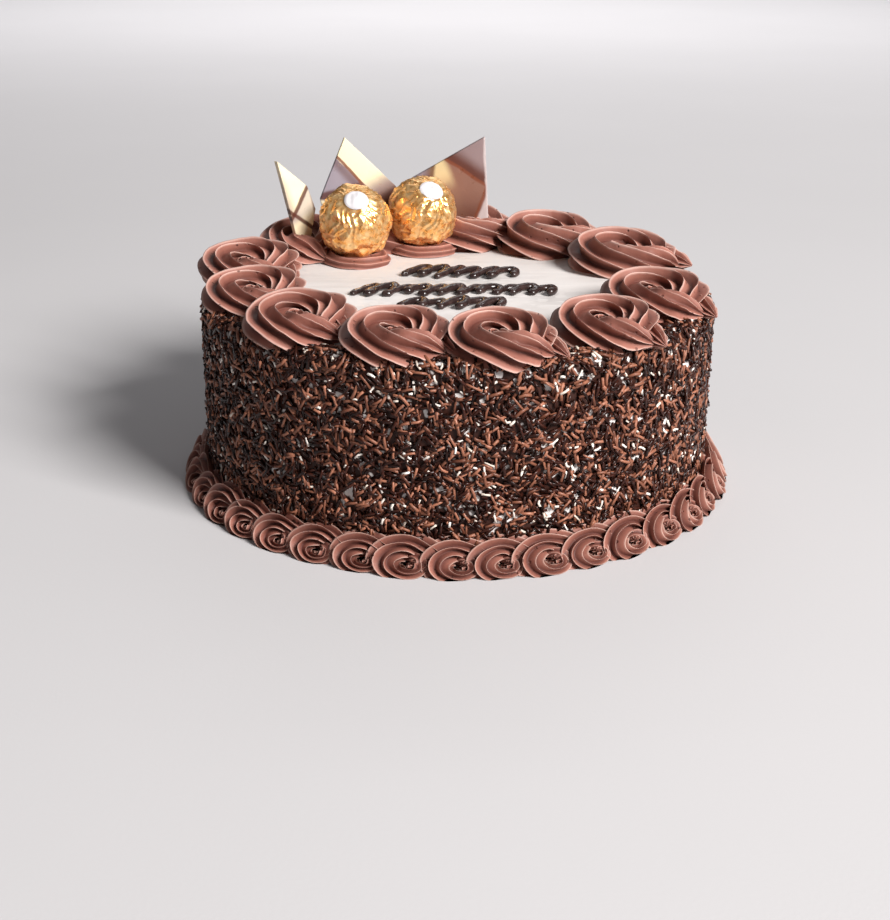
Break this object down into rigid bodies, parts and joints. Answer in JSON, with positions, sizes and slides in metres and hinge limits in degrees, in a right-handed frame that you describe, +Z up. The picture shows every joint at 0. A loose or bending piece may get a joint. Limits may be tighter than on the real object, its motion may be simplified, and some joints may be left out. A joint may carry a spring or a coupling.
{
  "type": "layer cake",
  "caption": "Whole round iced cake, sprinkled side, piped chocolate rosettes on top, shell border at the foot, foil-wrapped balls and chocolate shards.",
  "frame": {"origin": "centre of the cake's flat bottom, the foot of its side and shell border", "axes": "+Z up out of the cake's top, -Y towards the front, where the piped rows read from, +X to the right seen from the front"},
  "size_m": [0.2278, 0.2278, 0.125],
  "materials": {
    "white_icing": "soft satin white buttercream under brown, dark and white sprinkles",
    "chocolate_buttercream": "satin piped cream with fine air bubbles",
    "gold_foil": "crumpled bright foil",
    "sticker_paper": "plain coated paper",
    "marbled_chocolate": "smooth marbled white, milk and dark chocolate",
    "dark_piping": "wet glossy dark chocolate"
  },
  "bodies": {
    "root": {"cake_body": "white_icing", "rosette_front_left": "chocolate_buttercream", "rosette_front": "chocolate_buttercream", "rosette_front_right": "chocolate_buttercream", "rosette_right_front": "chocolate_buttercream", "rosette_right": "chocolate_buttercream", "rosette_right_back": "chocolate_buttercream", "rosette_back_right": "chocolate_buttercream", "rosette_back": "chocolate_buttercream", "rosette_left_back": "chocolate_buttercream", "rosette_left": "chocolate_buttercream", "rosette_pressed_right": "chocolate_buttercream", "rosette_pressed_left": "chocolate_buttercream", "shell_border": "chocolate_buttercream", "foil_ball_left": "gold_foil", "foil_ball_right": "gold_foil", "sticker_left": "sticker_paper", "sticker_right": "sticker_paper", "shard_left": "marbled_chocolate", "shard_middle": "marbled_chocolate", "shard_right": "marbled_chocolate", "piped_row_back": "dark_piping", "piped_row_middle": "dark_piping", "piped_row_front": "dark_piping"}
  },
  "joints": []
}
